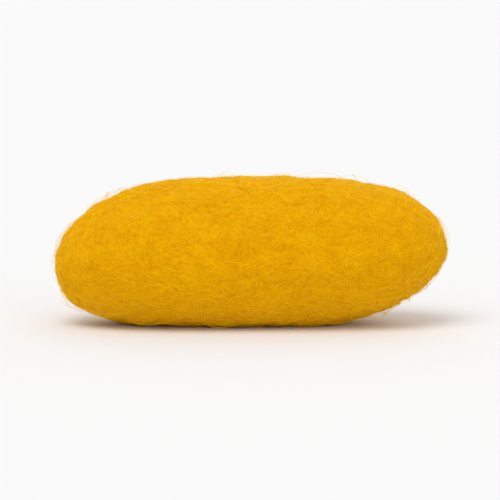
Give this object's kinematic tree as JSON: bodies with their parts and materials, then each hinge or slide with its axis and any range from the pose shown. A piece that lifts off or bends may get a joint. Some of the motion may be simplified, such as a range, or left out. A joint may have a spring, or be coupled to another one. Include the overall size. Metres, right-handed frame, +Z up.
{
  "type": "silk cocoon",
  "caption": "Whole golden-yellow silk cocoon, a closed elongated capsule with rounded ends, lying on its side on a small flat spot.",
  "frame": {"origin": "middle of the cocoon's footprint, on the surface that it rests on", "axes": "+Z up, +X along the cocoon towards its slightly slimmer end, +Y to the back"},
  "size_m": [0.034, 0.0138, 0.0129],
  "materials": {
    "silk": "matte golden-yellow spun silk with a fine felted, crepe-like surface and a thin fuzz of loose floss"
  },
  "bodies": {
    "root": {"cocoon": "silk"}
  },
  "joints": []
}
